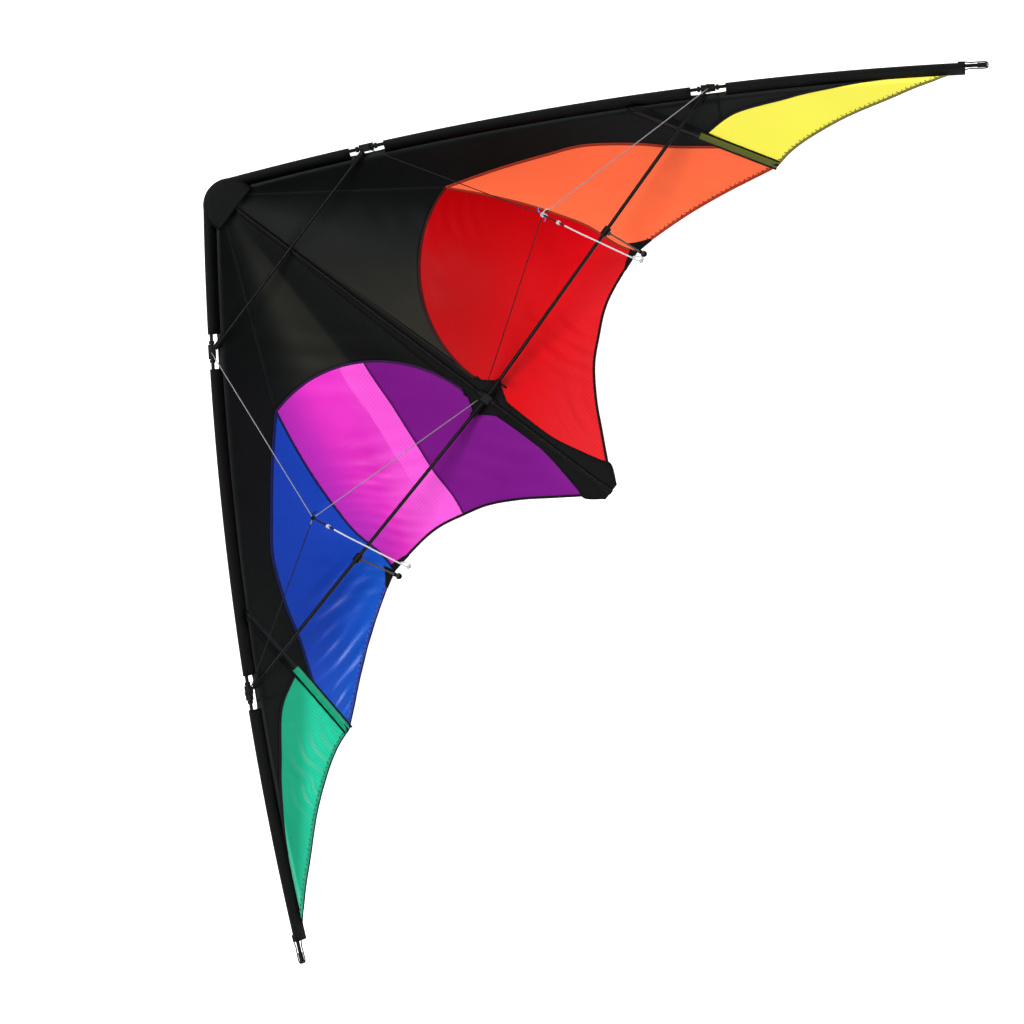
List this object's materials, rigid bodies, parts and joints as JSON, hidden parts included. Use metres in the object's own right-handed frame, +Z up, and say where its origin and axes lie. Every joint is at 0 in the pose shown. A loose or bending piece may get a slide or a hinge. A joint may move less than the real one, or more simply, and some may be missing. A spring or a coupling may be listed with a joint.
{
  "type": "delta kite",
  "caption": "Two-line framed delta kite with folding wings, standoffs, sail battens and a three-leg bridle on each side.",
  "frame": {"origin": "On the floor under the middle of the kite's box, measured without its cords, as it lies on its back on the nose cap and the two standoff feet.", "axes": "+X across the wings to the right wing as the flyer sees it, +Y towards the nose along the floor, +Z up towards the flyer's side of the sail."},
  "size_m": [1.8794, 0.8795, 0.4661],
  "materials": {
    "rod_black": "wrapped carbon tube, satin",
    "fitting_black": "moulded nylon, satin",
    "vinyl_black": "soft vinyl",
    "webbing_black": "woven nylon webbing",
    "sleeve_black": "woven polyester sleeve tape",
    "cloth_black": "ripstop polyester, light sheen",
    "cloth_red": "ripstop polyester, light sheen",
    "cloth_orange": "ripstop polyester, light sheen",
    "cloth_yellow": "ripstop polyester, light sheen",
    "cloth_purple": "ripstop polyester, light sheen",
    "cloth_magenta": "ripstop polyester, light sheen",
    "cloth_blue": "ripstop polyester, light sheen",
    "cloth_green": "ripstop polyester, light sheen",
    "line_white": "braided polyester line"
  },
  "bodies": {
    "frame": {"spine": "rod_black", "spine_tail_cap": "vinyl_black", "nose_cap": "webbing_black", "centre_tee": "fitting_black", "left_tee_sleeve": "vinyl_black", "right_tee_sleeve": "vinyl_black", "keel_reinforcement": "webbing_black", "left_centre_panel": "cloth_black", "right_centre_panel": "cloth_black", "purple_panel": "cloth_purple", "magenta_panel": "cloth_magenta", "red_panel": "cloth_red", "blue_panel": "cloth_blue", "orange_panel": "cloth_orange"},
    "left_wing": {"left_upper_spar": "rod_black", "left_lower_spar": "rod_black", "left_ferrule": "fitting_black", "left_edge_sleeve": "sleeve_black", "left_edge_panel": "cloth_black", "left_upper_hub": "fitting_black", "left_upper_socket": "vinyl_black", "left_lower_hub": "fitting_black", "left_lower_socket": "vinyl_black", "left_stop_clips": "fitting_black", "left_batten": "rod_black", "left_batten_caps": "vinyl_black", "left_tip_nock": "fitting_black", "left_outer_bridle": "line_white", "left_inner_bridle": "line_white", "left_tow_knot": "line_white", "left_leader": "line_white", "green_panel": "cloth_green"},
    "right_wing": {"right_upper_spar": "rod_black", "right_lower_spar": "rod_black", "right_ferrule": "fitting_black", "right_edge_sleeve": "sleeve_black", "right_edge_panel": "cloth_black", "right_upper_hub": "fitting_black", "right_upper_socket": "vinyl_black", "right_lower_hub": "fitting_black", "right_lower_socket": "vinyl_black", "right_stop_clips": "fitting_black", "right_batten": "rod_black", "right_batten_caps": "vinyl_black", "right_tip_nock": "fitting_black", "right_outer_bridle": "line_white", "right_inner_bridle": "line_white", "right_tow_knot": "line_white", "right_leader": "line_white", "yellow_panel": "cloth_yellow"},
    "left_spreader": {"left_lower_spreader": "rod_black", "left_standoff_fitting": "fitting_black"},
    "right_spreader": {"right_lower_spreader": "rod_black", "right_standoff_fitting": "fitting_black"},
    "left_standoff_rod": {"left_standoff": "rod_black", "left_standoff_foot": "vinyl_black"},
    "right_standoff_rod": {"right_standoff": "rod_black", "right_standoff_foot": "vinyl_black"},
    "front_spreader": {"upper_spreader": "rod_black"}
  },
  "joints": [
    {"name": "left_fold", "type": "hinge", "parent": "frame", "child": "left_wing", "pos_m": [-0.02, 0.42826, 0.01646], "axis": [0, 0.2208, 0.9753], "range_deg": [0, 35], "deforming": ["left_centre_panel", "purple_panel", "magenta_panel", "blue_panel", "left_outer_bridle", "left_inner_bridle", "left_tow_knot", "left_leader", "left_lower_socket", "left_tee_sleeve", "left_upper_socket"]},
    {"name": "right_fold", "type": "hinge", "parent": "frame", "child": "right_wing", "pos_m": [0.02, 0.42826, 0.01646], "axis": [0, -0.2208, -0.9753], "range_deg": [0, 35], "deforming": ["right_centre_panel", "red_panel", "orange_panel", "right_outer_bridle", "right_inner_bridle", "right_tow_knot", "right_leader", "right_lower_socket", "right_tee_sleeve", "right_upper_socket"]},
    {"name": "left_spreader_swing", "type": "hinge", "parent": "frame", "child": "left_spreader", "pos_m": [-0.016, -0.1204, 0.14064], "axis": [0, 0.2208, 0.9753], "range_deg": [0, 85]},
    {"name": "right_spreader_swing", "type": "hinge", "parent": "frame", "child": "right_spreader", "pos_m": [0.016, -0.1204, 0.14064], "axis": [0, -0.2208, -0.9753], "range_deg": [0, 85]},
    {"name": "left_standoff_fold", "type": "hinge", "parent": "left_spreader", "child": "left_standoff_rod", "pos_m": [-0.34, -0.11698, 0.13161], "axis": [0, -0.7742, 0.6329], "range_deg": [0, 84]},
    {"name": "right_standoff_fold", "type": "hinge", "parent": "right_spreader", "child": "right_standoff_rod", "pos_m": [0.34, -0.11698, 0.13161], "axis": [0, 0.7742, -0.6329], "range_deg": [0, 84]},
    {"name": "front_spreader_swing", "type": "hinge", "parent": "left_wing", "child": "front_spreader", "pos_m": [-0.19791, 0.27884, 0.06053], "axis": [0, -0.2208, -0.9753], "range_deg": [0, 136]}
  ],
  "couplings": [
    {"joint": "left_spreader_swing", "follows": "left_fold", "ratio": 2.4286},
    {"joint": "right_spreader_swing", "follows": "right_fold", "ratio": 2.4286},
    {"joint": "left_standoff_fold", "follows": "left_fold", "ratio": 2.4},
    {"joint": "right_standoff_fold", "follows": "right_fold", "ratio": 2.4},
    {"joint": "front_spreader_swing", "follows": "left_fold", "ratio": 3.8857}
  ]
}
